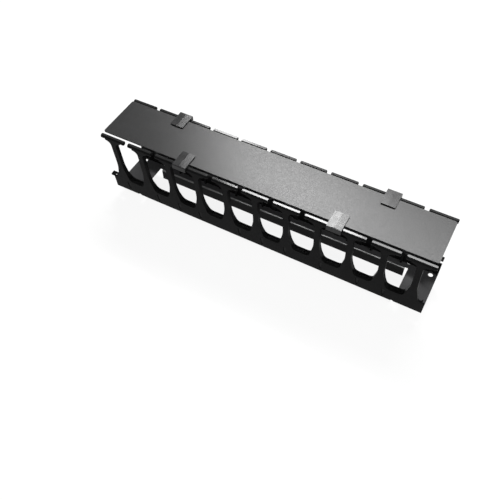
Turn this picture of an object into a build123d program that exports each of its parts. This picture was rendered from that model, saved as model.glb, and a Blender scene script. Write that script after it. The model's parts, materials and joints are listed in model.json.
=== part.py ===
from build123d import *
import math
import os

# Horizontal cable manager for a 19-inch rack, two rack units wide.
# X runs along its length, Y across it and Z away from the rack; it lies on the tray's flanges.
# The origin is under the middle of the tray, where the flanges stand on a table.

# Driving sizes of the row of fingers, one to each rack unit of length
finger_pitch = 44.45
finger_count = 11
head_gap = 6.35
panel_length = finger_count * finger_pitch - head_gap

# Floor tray, folded from steel sheet
tray_sheet = 1.5
flange_depth = 18.0
flange_bend_radius = 1.5
flange_inner_y = 22.0
opening_end_margin = 39.3
flange_relief = 4.3
plate_top = flange_depth
plate_under = plate_top - tray_sheet

# Rack screw holes in the tray's two ends
hole_spacing_x = 465.1
hole_spacing_y = 57.15
hole_radius = 3.4
screw_head_radius = 5.2

# Finger rails, one moulding each
bar_radius = 3.2
bar_axis_y = 39.9
bar_axis_z = plate_top + 105.7
bar_end_rounding = 1.3
bar_flat_height = 2.8
foot_outer_y = 34.4
rail_skin = 2.4
finger_depth = 6.2
finger_width = 8.0

# Windows between the fingers, in heights along the leaning face from its bottom edge
sill_height = 23.5
sill_half_width = 11.8
sill_corner_radius = 7.0
trunk_height = 53.5
trunk_radius = 60.0
flare_radius = 7.8
slab_half_width = 12.0
slab_depth_under_bar = 0.6
rim_thickness = 2.4
rim_depth = 9.0
rim_height = 17.0
sill_groove_length = 17.0
sill_groove_width = 3.4
sill_groove_depth = 1.2
sill_groove_setback = 5.6

# Latches between the tray and the rails, with their places along the rail in finger pitches
latch_places = (-4.85, -3.68, -2.86, -2.08, -0.63, 0.17, 0.97, 2.18, 3.38, 4.2)
latch_top_width = 5.6
latch_bottom_width = 2.4
latch_height = 14.0
latch_centre_height = 12.5
tongue_width = 7.5
tongue_height = 19.6
tongue_clearance = 0.1
barb_clearance = 0.4
barb_reach = 1.8
foot_rib_width = 2.4
tray_edge_clearance = 0.1

# End peg on each rail
peg_length = 5.7
peg_height = 2.6
peg_reach = 4.2
peg_base_height = 29.4
peg_root = 5.0

# Cover
cover_sheet = 1.5
cover_end_inset = 0.8
cover_bar_gap = 1.45
cover_corner_radius = 3.0
cover_rise_over_bar = 1.0
cover_top = bar_axis_z + bar_radius + cover_rise_over_bar
cover_under = cover_top - cover_sheet
cover_half_width = bar_axis_y - bar_radius - cover_bar_gap
cover_length = panel_length - 2 * cover_end_inset

# Clips that hinge and latch the cover on the bars
clip_width = 19.8
clip_plate = 2.0
clip_crown = 0.35
clip_bar_clearance = 0.25
clip_wall = 3.2
clip_overlap = 16.4
clip_leg = 1.5
clip_leg_overlap = 10.0
clip_tip_drop = 1.7
clip_corner_radius = 1.8
clip_plan_radius = 1.2
near_clip_bay = 2.5
far_clip_bay = 3.5


# Frame of a rail's outer face: x along the rail, y up the leaning face, z outward
rail_rise = bar_axis_z - plate_under
rail_spread = bar_axis_y + bar_radius - foot_outer_y
lean = math.atan2(rail_spread, rail_rise)
face_height = rail_rise / math.cos(lean)
face = Plane(
    origin=(0, -foot_outer_y, plate_under),
    x_dir=(1, 0, 0),
    z_dir=(0, -math.cos(lean), -math.sin(lean)),
)
slab_under_height = face_height - bar_radius - slab_depth_under_bar
latch_xs = [place * finger_pitch for place in latch_places]
rib_xs = [(a + b) / 2 for a, b in zip(latch_xs, latch_xs[1:])]
first_finger_x = -(finger_count - 1) / 2 * finger_pitch
finger_xs = [first_finger_x + n * finger_pitch for n in range(finger_count)]
bay_xs = [first_finger_x + (n + 0.5) * finger_pitch for n in range(finger_count - 1)]
opening_half_length = panel_length / 2 - opening_end_margin
flange_half_length = opening_half_length - flange_relief
bend_outer_radius = flange_bend_radius + tray_sheet
strip_inner_y = flange_inner_y + bend_outer_radius
bend_low_z = plate_top - bend_outer_radius


def face_point(height, depth):
    """The Y and Z of a point inside the near rail, at a height along its face and a depth behind it."""
    y = -foot_outer_y - height * math.sin(lean) + depth * math.cos(lean)
    z = plate_under + height * math.cos(lean) + depth * math.sin(lean)
    return y, z


# Outline of one window with the open throat between two heads above it
half_window = (finger_pitch - finger_width) / 2
half_throat = finger_pitch / 2 - slab_half_width
with BuildSketch() as window:
    with BuildLine():
        Polyline(
            (-sill_half_width, sill_height),
            (sill_half_width, sill_height),
            (half_window, trunk_height),
            (half_window, slab_under_height),
            (half_throat, slab_under_height),
            (half_throat, face_height + bar_radius),
            (-half_throat, face_height + bar_radius),
            (-half_throat, slab_under_height),
            (-half_window, slab_under_height),
            (-half_window, trunk_height),
            close=True,
        )
    make_face()
    under_slab = window.vertices().group_by(Axis.Y)[-2].sort_by(Axis.X)
    fillet([under_slab[0], under_slab[-1]], flare_radius)
    fillet(window.vertices().group_by(Axis.Y)[1], trunk_radius)
    fillet(window.vertices().group_by(Axis.Y)[0], sill_corner_radius)

# Outline of one latch slot, narrower at its bottom
with BuildSketch() as latch_slot:
    Polygon(
        (-latch_top_width / 2, latch_height),
        (-latch_bottom_width / 2, 0),
        (latch_bottom_width / 2, 0),
        (latch_top_width / 2, latch_height),
        align=Align.CENTER,
    )

# The bump that fills a latch slot, smaller all round
with BuildSketch() as latch_bump:
    offset(latch_slot.sketch, amount=-barb_clearance, kind=Kind.INTERSECTION)

# Rim outline of one window's lower part
with BuildSketch() as window_rim:
    add(window.sketch)
    offset(amount=rim_thickness, kind=Kind.ARC)
    add(window.sketch, mode=Mode.SUBTRACT)
    with Locations((0, sill_height - rim_thickness)):
        Rectangle(
            finger_pitch,
            rim_height + rim_thickness,
            align=(Align.CENTER, Align.MIN),
            mode=Mode.INTERSECT,
        )

# Deep rims round the bottoms of all whole windows, sloping back up to the fingers
with BuildPart() as window_rims:
    with BuildSketch(face):
        with GridLocations(finger_pitch, 0, finger_count - 1, 1):
            add(window_rim.sketch)
    extrude(amount=-rim_depth)
    with BuildSketch(Plane.YZ.offset(-panel_length / 2)):
        Polygon(
            face_point(sill_height, rim_depth),
            face_point(sill_height, 2 * rim_depth),
            face_point(sill_height + rim_height, 2 * rim_depth),
            face_point(sill_height + rim_height, finger_depth),
            align=None,
        )
    extrude(amount=panel_length, mode=Mode.SUBTRACT)

# One head bar, a round rod along X with softened ends and a narrow flat on top
with BuildPart() as head_bar:
    Cylinder(bar_radius, finger_pitch - head_gap, rotation=(0, 90, 0))
    fillet(head_bar.edges().filter_by(GeomType.CIRCLE), bar_end_rounding)
    with BuildSketch(Plane.XY.offset(bar_flat_height)):
        Rectangle(finger_pitch, 2 * bar_radius)
    extrude(amount=bar_radius, mode=Mode.SUBTRACT)

# Near finger rail
with BuildPart() as near_rail:
    # Outer skin with its windows
    with BuildSketch(face):
        Rectangle(panel_length, face_height, align=(Align.CENTER, Align.MIN))
        with GridLocations(finger_pitch, 0, finger_count + 1, 1):
            add(window.sketch, mode=Mode.SUBTRACT)
    extrude(amount=-rail_skin)
    # Fingers and their heads, thicker than the foot
    with BuildSketch(face):
        with Locations((0, sill_height)):
            Rectangle(panel_length, face_height - sill_height, align=(Align.CENTER, Align.MIN))
        with GridLocations(finger_pitch, 0, finger_count + 1, 1):
            add(window.sketch, mode=Mode.SUBTRACT)
    extrude(amount=-finger_depth)
    add(window_rims.part)
    # Ribs that stand on the tray
    with BuildSketch(face):
        with Locations([(x, 0) for x in rib_xs]):
            Rectangle(foot_rib_width, sill_height, align=(Align.CENTER, Align.MIN))
    extrude(amount=-finger_depth)
    # Bars on the heads
    with Locations([(x, -bar_axis_y, bar_axis_z) for x in finger_xs]):
        add(head_bar.part)
    # Peg on the outside of the left end
    with BuildSketch(face.offset(peg_reach)):
        with Locations((-panel_length / 2, peg_base_height)):
            Rectangle(peg_length, peg_height, align=(Align.MIN, Align.MIN))
    extrude(amount=-peg_reach - rail_skin)
    with BuildSketch(face):
        with Locations((-panel_length / 2, peg_base_height)):
            Rectangle(peg_length + peg_root, peg_height, align=(Align.MIN, Align.MIN))
    extrude(amount=-rail_skin)
    # Shallow grooves in the window sills
    groove_y, sill_z = face_point(sill_height, sill_groove_setback)
    with BuildSketch(Plane.XY.offset(sill_z - sill_groove_depth)):
        with Locations([(x, groove_y) for x in bay_xs]):
            SlotOverall(sill_groove_length, sill_groove_width)
    extrude(amount=2 * sill_groove_depth, mode=Mode.SUBTRACT)
    # Latch slots through the foot
    with BuildSketch(face):
        with Locations([(x, latch_centre_height) for x in latch_xs]):
            add(latch_slot.sketch)
    extrude(amount=-2 * rail_skin, mode=Mode.SUBTRACT)
    # Pockets for the rack screws' heads and the driver, open upwards
    with BuildSketch(Plane.XY.offset(plate_top)):
        with GridLocations(hole_spacing_x, hole_spacing_y, 2, 2):
            Circle(screw_head_radius)
    extrude(amount=trunk_height, mode=Mode.SUBTRACT)
    # Room for the tray's strip, and at both ends for its full width
    with BuildSketch(Plane.XY.offset(plate_top)):
        strip_edge_y = foot_outer_y - rail_skin
        Rectangle(panel_length, 2 * strip_edge_y)
        end_length = panel_length / 2 - flange_half_length
        with Locations((-panel_length / 2, 0)):
            Rectangle(end_length, 2 * bar_axis_y, align=(Align.MIN, Align.CENTER))
        with Locations((panel_length / 2, 0)):
            Rectangle(end_length, 2 * bar_axis_y, align=(Align.MAX, Align.CENTER))
    extrude(amount=-plate_top, mode=Mode.SUBTRACT)

near_rail.part.label = "near_finger_rail"

# Far finger rail, the same moulding turned round
with BuildPart() as far_rail:
    add(near_rail.part, rotation=(0, 0, 180))

far_rail.part.label = "far_finger_rail"

# One side's latch tongues, bent up from the tray's edge behind the rail's foot
with BuildPart() as tongues:
    tongue_face = face.offset(-rail_skin - tongue_clearance)
    with BuildSketch(tongue_face):
        with Locations([(x, tray_sheet / 2) for x in latch_xs]):
            Rectangle(tongue_width, tongue_height - tray_sheet / 2, align=(Align.CENTER, Align.MIN))
    extrude(amount=-tray_sheet)
    with BuildSketch(tongue_face):
        with Locations([(x, latch_centre_height) for x in latch_xs]):
            add(latch_bump.sketch)
    extrude(amount=barb_reach)

# Floor tray
with BuildPart() as tray:
    strip_half_width = foot_outer_y - rail_skin - tray_edge_clearance
    # Two strips with their down-turned flanges, as one bent section each
    with BuildSketch(Plane.YZ.offset(-flange_half_length)) as bent_section:
        with BuildLine():
            flange_outer_y = flange_inner_y + tray_sheet
            Polyline(
                (strip_half_width, plate_top),
                (strip_inner_y, plate_top),
            )
            RadiusArc((strip_inner_y, plate_top), (flange_inner_y, bend_low_z), -bend_outer_radius)
            Polyline(
                (flange_inner_y, bend_low_z),
                (flange_inner_y, 0),
                (flange_outer_y, 0),
                (flange_outer_y, bend_low_z),
            )
            RadiusArc((flange_outer_y, bend_low_z), (strip_inner_y, plate_under), flange_bend_radius)
            Polyline(
                (strip_inner_y, plate_under),
                (strip_half_width, plate_under),
                (strip_half_width, plate_top),
            )
        make_face()
        mirror(about=Plane.YZ)
    extrude(amount=2 * flange_half_length)
    # End plates with the rack screw holes
    with BuildSketch(Plane.XY.offset(plate_under)):
        end_plate_length = panel_length / 2 - opening_half_length
        end_plate_x = opening_half_length + end_plate_length / 2
        with Locations((-end_plate_x, 0), (end_plate_x, 0)):
            Rectangle(end_plate_length, 2 * foot_outer_y)
        # Narrow necks beside the relief gaps
        neck_width = strip_half_width - strip_inner_y
        neck_y = strip_inner_y + neck_width / 2
        neck_x = opening_half_length - flange_relief / 2
        with GridLocations(2 * neck_x, 2 * neck_y, 2, 2):
            Rectangle(flange_relief, neck_width)
        with GridLocations(hole_spacing_x, hole_spacing_y, 2, 2):
            Circle(hole_radius, mode=Mode.SUBTRACT)
    extrude(amount=tray_sheet)
    add(tongues.part)
    add(tongues.part, rotation=(0, 0, 180))

tray.part.label = "floor_tray"

# Cover, a flat sheet between the two rows of bars
with BuildPart() as cover:
    with BuildSketch(Plane.XY.offset(cover_under)):
        RectangleRounded(cover_length, 2 * cover_half_width, cover_corner_radius)
    extrude(amount=cover_sheet)

cover.part.label = "cover"

# Profile of a clip on the far side, drawn in Y and Z
clip_bore = bar_radius + clip_bar_clearance
clip_outer_y = bar_axis_y + clip_bore + clip_wall
clip_top = cover_top + clip_plate
clip_tip_z = bar_axis_z - clip_tip_drop
with BuildPart() as clip:
    with BuildSketch(Plane.YZ.offset(-clip_width / 2)):
        with Locations((cover_half_width, clip_tip_z)):
            Rectangle(
                clip_outer_y - cover_half_width,
                clip_top - clip_tip_z,
                align=(Align.MIN, Align.MIN),
            )
        with Locations((bar_axis_y, bar_axis_z)):
            Circle(clip_bore, mode=Mode.SUBTRACT)
        with Locations((cover_half_width, cover_top)):
            Rectangle(clip_overlap, clip_plate, align=(Align.MAX, Align.MIN))
        with Locations((cover_half_width, cover_under)):
            Rectangle(clip_leg_overlap, clip_leg, align=(Align.MAX, Align.MAX))
    extrude(amount=clip_width)
    fillet(clip.edges().filter_by(Axis.Z).group_by(Axis.Z)[-1].group_by(Axis.Y)[0], clip_plan_radius)
    top_edges = clip.edges().filter_by(Axis.X).group_by(Axis.Z)[-1]
    fillet(top_edges.sort_by(Axis.Y)[-1], clip_corner_radius)
    # Shallow ridge along the middle of the top
    with BuildSketch(Plane.XZ):
        for side in (-1, 1):
            with BuildLine():
                Polyline(
                    (0, clip_top),
                    (side * clip_width / 2, clip_top - clip_crown),
                    (side * clip_width / 2, clip_top),
                    close=True,
                )
            make_face()
    extrude(amount=-clip_outer_y, mode=Mode.SUBTRACT)

os.makedirs("parts", exist_ok=True)
export_step(tray.part, "parts/floor_tray.step")
export_step(near_rail.part, "parts/near_finger_rail.step")
export_step(far_rail.part, "parts/far_finger_rail.step")
export_step(cover.part, "parts/cover.step")

# Each clip sits over the gap between two heads
clip_places = {
    "far_left_clip": (-far_clip_bay, 0),
    "far_right_clip": (far_clip_bay, 0),
    "near_left_clip": (-near_clip_bay, 180),
    "near_right_clip": (near_clip_bay, 180),
}
for clip_name, (bay, turn) in clip_places.items():
    with BuildPart() as placed_clip:
        with Locations((bay * finger_pitch, 0, 0)):
            add(clip.part, rotation=(0, 0, turn))
    placed_clip.part.label = clip_name
    export_step(placed_clip.part, f"parts/{clip_name}.step")
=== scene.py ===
import json
import math

import bpy
from mathutils import Matrix, Vector


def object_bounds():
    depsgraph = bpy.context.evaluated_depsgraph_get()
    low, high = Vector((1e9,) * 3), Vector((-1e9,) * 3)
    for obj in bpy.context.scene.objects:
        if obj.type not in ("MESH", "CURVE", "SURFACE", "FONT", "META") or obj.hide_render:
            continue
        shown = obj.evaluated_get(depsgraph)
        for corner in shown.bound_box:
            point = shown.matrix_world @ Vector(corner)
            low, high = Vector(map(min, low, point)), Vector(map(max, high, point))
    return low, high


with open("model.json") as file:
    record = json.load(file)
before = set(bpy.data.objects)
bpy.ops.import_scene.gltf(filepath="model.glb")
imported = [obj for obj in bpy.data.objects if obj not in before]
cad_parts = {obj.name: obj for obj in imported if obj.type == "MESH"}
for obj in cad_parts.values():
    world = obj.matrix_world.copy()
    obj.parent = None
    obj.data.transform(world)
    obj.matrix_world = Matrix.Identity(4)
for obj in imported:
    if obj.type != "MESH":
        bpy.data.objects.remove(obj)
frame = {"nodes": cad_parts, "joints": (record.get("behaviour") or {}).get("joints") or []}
cad_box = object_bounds()
nodes = frame["nodes"]
scene = bpy.context.scene
scene.view_settings.view_transform = "Standard"

# Camera at the photograph's viewing angle, aimed at a point on the table
MM = 0.001
CAMERA_PLACE = Vector((257.96, -512.46, 729.72)) * MM
CAMERA_TARGET = Vector((-10.22, -38.0, 0.0)) * MM
CAMERA_ROLL = -1.182
CAMERA_LENS = 45.66
CAMERA_SENSOR = 36.0

# The rails' polish starts near the undersides of their bars, measured down from the bars' axis
BAR_AXIS_HEIGHT = frame["joints"][0]["pos_m"][2]
POLISH_FROM = BAR_AXIS_HEIGHT - 4.7 * MM
POLISH_FULL = BAR_AXIS_HEIGHT - 2.7 * MM
BUMP_DEPTH = 0.1 * MM

# Floor and world, with how white each is to the camera and how bright to the part
FLOOR_SIZE = 12.0
FLOOR_DROP = 0.2 * MM
FLOOR_PAINT = 0.9
FLOOR_WHITE = 0.88
WORLD_LEVEL = 0.15
WHITE = (1.0, 1.0, 1.0, 1.0)

# Soft boxes hang level over the part and behind it, turned a little about the vertical
SOFTBOX_HEIGHT = 1.3
SOFTBOX_TURN = -11.0
PART_MIDDLE = (cad_box[0] + cad_box[1]) / 2

# Optical index of the coatings and plastics, and the span and the core of a noise's values
SURFACE_IOR = 1.5
NOISE_SPAN = (0.3, 0.7)
NOISE_CORE = (0.35, 0.65)

# Colour sockets of a Mix node that is set to colours
MIX_FIRST = 6
MIX_SECOND = 7
MIX_RESULT = 2


def add_camera():
    """Aims the camera at its target, level, and rolls it about the line of sight."""
    data = bpy.data.cameras.new("camera")
    data.lens = CAMERA_LENS
    data.sensor_width = CAMERA_SENSOR
    data.clip_start = 0.01
    data.clip_end = 50.0
    camera = bpy.data.objects.new("camera", data)
    roll = Matrix.Rotation(math.radians(CAMERA_ROLL), 4, "Z")
    camera.matrix_world = aimed(CAMERA_PLACE, CAMERA_TARGET) @ roll
    scene.collection.objects.link(camera)
    scene.camera = camera


def aimed(where, target):
    """Places a camera or a light so that its local -Z points at a target."""
    away = Vector(where) - target
    return Matrix.Translation(where) @ away.to_track_quat("Z", "Y").to_matrix().to_4x4()


def new_material(name, specular):
    """A node material with its shader, whose specular level and index are the same all over."""
    material = bpy.data.materials.new(name)
    material.use_nodes = True
    tree = material.node_tree
    shader = tree.nodes["Principled BSDF"]
    shader.inputs["Specular IOR Level"].default_value = specular
    shader.inputs["IOR"].default_value = SURFACE_IOR
    return material, tree, shader


def place(tree, stretch=(1.0, 1.0, 1.0)):
    """The object's own coordinates, in metres."""
    source = tree.nodes.new("ShaderNodeTexCoord")
    mapping = tree.nodes.new("ShaderNodeMapping")
    mapping.inputs["Scale"].default_value = stretch
    tree.links.new(source.outputs["Object"], mapping.inputs["Vector"])
    return mapping.outputs["Vector"]


def height(tree):
    """The height above the table, in metres."""
    split = tree.nodes.new("ShaderNodeSeparateXYZ")
    tree.links.new(place(tree), split.inputs["Vector"])
    return split.outputs["Z"]


def upward(tree, low, high):
    """Rises from zero to one as the surface turns to face up."""
    source = tree.nodes.new("ShaderNodeTexCoord")
    split = tree.nodes.new("ShaderNodeSeparateXYZ")
    tree.links.new(source.outputs["Normal"], split.inputs["Vector"])
    return remap(tree, split.outputs["Z"], low, high)


def noise(tree, scale, detail, roughness, stretch=(1.0, 1.0, 1.0)):
    """Fractal noise with a number of cells to the metre."""
    texture = tree.nodes.new("ShaderNodeTexNoise")
    texture.inputs["Scale"].default_value = scale
    texture.inputs["Detail"].default_value = detail
    texture.inputs["Roughness"].default_value = roughness
    tree.links.new(place(tree, stretch), texture.inputs["Vector"])
    return texture.outputs["Fac"]


def remap(tree, source, low, high, out_low=0.0, out_high=1.0):
    """Maps a value from one range to another, held at both ends."""
    node = tree.nodes.new("ShaderNodeMapRange")
    node.inputs["From Min"].default_value = low
    node.inputs["From Max"].default_value = high
    node.inputs["To Min"].default_value = out_low
    node.inputs["To Max"].default_value = out_high
    tree.links.new(source, node.inputs["Value"])
    return node.outputs["Result"]


def math_node(tree, operation, first, second):
    """One arithmetic step on numbers or sockets."""
    node = tree.nodes.new("ShaderNodeMath")
    node.operation = operation
    for socket, value in zip(node.inputs, (first, second)):
        if isinstance(value, (int, float)):
            socket.default_value = value
        else:
            tree.links.new(value, socket)
    return node.outputs["Value"]


def product(tree, first, second):
    """Multiplies two numbers or sockets."""
    return math_node(tree, "MULTIPLY", first, second)


def rest_of(tree, share):
    """One less a share."""
    return math_node(tree, "SUBTRACT", 1.0, share)


def mix_colour(tree, factor, first, second):
    """Blends two colours, each a tuple or a socket."""
    node = tree.nodes.new("ShaderNodeMix")
    node.data_type = "RGBA"
    tree.links.new(factor, node.inputs["Factor"])
    for socket, value in ((node.inputs[MIX_FIRST], first), (node.inputs[MIX_SECOND], second)):
        if isinstance(value, tuple):
            socket.default_value = (*value, 1.0)
        else:
            tree.links.new(value, socket)
    return node.outputs[MIX_RESULT]


def grey(value):
    """A grey with a very slight blue cast."""
    return (value, value, value * 1.03)


def mottle(tree, shader, pattern, dark, light):
    """Lets the base colour wander between two greys."""
    tree.links.new(mix_colour(tree, pattern, grey(dark), grey(light)), shader.inputs["Base Color"])


def add_bump(tree, shader, source, strength):
    """Raises and lowers the surface a little after a pattern."""
    node = tree.nodes.new("ShaderNodeBump")
    node.inputs["Strength"].default_value = strength
    node.inputs["Distance"].default_value = BUMP_DEPTH
    tree.links.new(source, node.inputs["Height"])
    tree.links.new(node.outputs["Normal"], shader.inputs["Normal"])


def add_gloss_coat(tree, shader, share, roughness, ior):
    """A clear second gloss over a share of the surface."""
    tree.links.new(share, shader.inputs["Coat Weight"])
    shader.inputs["Coat Roughness"].default_value = roughness
    shader.inputs["Coat IOR"].default_value = ior


def powder_coat(name, rough_low, rough_high, specular):
    """Satin black powder coat with its fine orange-peel texture."""
    material, tree, shader = new_material(name, specular)
    cloud = remap(tree, noise(tree, scale=35.0, detail=5.0, roughness=0.6), *NOISE_CORE)
    mottle(tree, shader, cloud, dark=0.004, light=0.007)
    speckle = noise(tree, scale=480.0, detail=5.0, roughness=0.65)
    gloss = remap(tree, speckle, *NOISE_SPAN, rough_low, rough_high)
    tree.links.new(gloss, shader.inputs["Roughness"])
    add_bump(tree, shader, noise(tree, scale=1100.0, detail=3.0, roughness=0.6), strength=0.18)
    return material


def tray_coat():
    """The tray's powder coat, glossier along its bends, with painted light: its level faces are
    painted a lighter grey than the rest of the same coat.
    """
    material = powder_coat("tray_coat", rough_low=0.36, rough_high=0.46, specular=0.04)
    tree = material.node_tree
    shader = tree.nodes["Principled BSDF"]
    # Painted light: faces that look up get a lighter grey, standing in for the light that falls on
    # them
    level = upward(tree, low=0.9, high=0.99)
    tint = shader.inputs["Base Color"].links[0].from_socket
    tree.links.new(mix_colour(tree, level, tint, grey(0.04)), shader.inputs["Base Color"])
    on_bend = product(tree, upward(tree, low=0.15, high=0.4), rest_of(tree, level))
    add_gloss_coat(tree, shader, on_bend, roughness=0.3, ior=2.0)
    return material


def rail_plastic(name):
    """Black moulded plastic: finely grained, and polished along the tops of the bars."""
    material, tree, shader = new_material(name, specular=0.02)
    cloud = remap(tree, noise(tree, scale=40.0, detail=5.0, roughness=0.55), *NOISE_SPAN)
    mottle(tree, shader, cloud, dark=0.003, light=0.005)
    above_fingers = remap(tree, height(tree), POLISH_FROM, POLISH_FULL)
    polished = product(tree, above_fingers, upward(tree, low=0.8, high=0.92))
    grained = rest_of(tree, polished)
    speckle = noise(tree, scale=260.0, detail=4.0, roughness=0.6)
    grain = remap(tree, speckle, *NOISE_SPAN, out_low=0.34, out_high=0.44)
    streaks = noise(tree, scale=900.0, detail=3.0, roughness=0.5, stretch=(0.05, 1.0, 1.0))
    polish = remap(tree, streaks, *NOISE_SPAN, out_low=0.27, out_high=0.345)
    rough = math_node(tree, "ADD", product(tree, grain, grained), product(tree, polish, polished))
    tree.links.new(rough, shader.inputs["Roughness"])
    add_gloss_coat(tree, shader, polished, roughness=0.12, ior=1.24)
    fine_grain = noise(tree, scale=1700.0, detail=3.0, roughness=0.5)
    add_bump(tree, shader, product(tree, fine_grain, grained), strength=0.1)
    return material


def clip_plastic(name):
    """Satin black moulded plastic with faint flow mottling."""
    material, tree, shader = new_material(name, specular=0.19)
    flow = noise(tree, scale=160.0, detail=4.0, roughness=0.6, stretch=(1.0, 0.6, 1.0))
    mottle(tree, shader, remap(tree, flow, *NOISE_CORE), dark=0.008, light=0.013)
    gloss = remap(tree, flow, *NOISE_SPAN, out_low=0.2, out_high=0.26)
    tree.links.new(gloss, shader.inputs["Roughness"])
    add_bump(tree, shader, noise(tree, scale=1200.0, detail=3.0, roughness=0.55), strength=0.1)
    return material


def dress(node, material):
    """Gives a piece of the frame its material."""
    slots = nodes[node].data.materials
    slots.clear()
    slots.append(material)


def add_light(name, pose, size, radiance):
    """A rectangular light of a width, depth and radiance, which shines along its local -Z."""
    data = bpy.data.lights.new(name, "AREA")
    data.shape = "RECTANGLE"
    data.size, data.size_y = size
    data.energy = radiance * math.pi * size[0] * size[1]
    light = bpy.data.objects.new(name, data)
    light.matrix_world = pose
    scene.collection.objects.link(light)


def add_softbox(name, x, y, size, radiance):
    """A level soft box that faces down. The cover and the bars mirror it."""
    turn = Matrix.Rotation(math.radians(SOFTBOX_TURN), 4, "Z")
    add_light(name, Matrix.Translation((x, y, SOFTBOX_HEIGHT)) @ turn, size, radiance)


def add_fill(name, where, size, radiance):
    """A weaker light that faces the middle of the part."""
    add_light(name, aimed(where, PART_MIDDLE), size, radiance)


def seen_directly(tree):
    """One for rays from the camera, a reflection or a transmission, and zero for the rest."""
    path = tree.nodes.new("ShaderNodeLightPath")
    seen = math_node(tree, "MAXIMUM", path.outputs["Is Camera Ray"], path.outputs["Is Glossy Ray"])
    return math_node(tree, "MAXIMUM", seen, path.outputs["Is Transmission Ray"])


def add_floor():
    """A pale floor just under the part, which keeps a faint shadow."""
    bpy.ops.mesh.primitive_plane_add(size=FLOOR_SIZE, location=(0, 0, -FLOOR_DROP))
    floor = bpy.context.object
    floor.name = "floor"
    material, tree, shader = new_material("floor_paint", specular=0.0)
    shader.inputs["Base Color"].default_value = (FLOOR_PAINT, FLOOR_PAINT, FLOOR_PAINT, 1.0)
    shader.inputs["Roughness"].default_value = 0.9
    white = tree.nodes.new("ShaderNodeEmission")
    white.inputs["Color"].default_value = WHITE
    white.inputs["Strength"].default_value = 1.0
    mix = tree.nodes.new("ShaderNodeMixShader")
    paint, light = mix.inputs[1:]
    tree.links.new(product(tree, seen_directly(tree), FLOOR_WHITE), mix.inputs["Fac"])
    tree.links.new(shader.outputs["BSDF"], paint)
    tree.links.new(white.outputs["Emission"], light)
    tree.links.new(mix.outputs["Shader"], tree.nodes["Material Output"].inputs["Surface"])
    floor.data.materials.append(material)


def add_world():
    """A plain world that is white to look at and lights the part softly."""
    world = bpy.data.worlds.new("world")
    scene.world = world
    world.use_nodes = True
    tree = world.node_tree
    background = tree.nodes["Background"]
    background.inputs["Color"].default_value = WHITE
    strength = remap(tree, seen_directly(tree), 0.0, 1.0, out_low=WORLD_LEVEL)
    tree.links.new(strength, background.inputs["Strength"])


add_camera()
dress("floor_tray", tray_coat())
dress("cover", powder_coat("cover_coat", rough_low=0.28, rough_high=0.36, specular=0.235))
for rail in ("near_finger_rail", "far_finger_rail"):
    dress(rail, rail_plastic(rail + "_plastic"))
for clip in ("far_left_clip", "far_right_clip", "near_left_clip", "near_right_clip"):
    dress(clip, clip_plastic(clip + "_plastic"))

add_floor()
add_world()
add_softbox("softbox", x=-0.35, y=0.925, size=(0.56, 0.18), radiance=78.0)
add_softbox("softbox_right", x=0.18, y=0.80, size=(0.48, 0.38), radiance=27.0)
add_softbox("softbox_left", x=-0.73, y=1.10, size=(0.20, 0.14), radiance=52.0)
add_fill("front_fill", (-0.05, -1.15, 0.95), size=(0.9, 0.45), radiance=9.0)
add_fill("right_fill", (1.3, -0.35, 0.7), size=(0.3, 0.3), radiance=30.0)

bpy.context.view_layer.update()
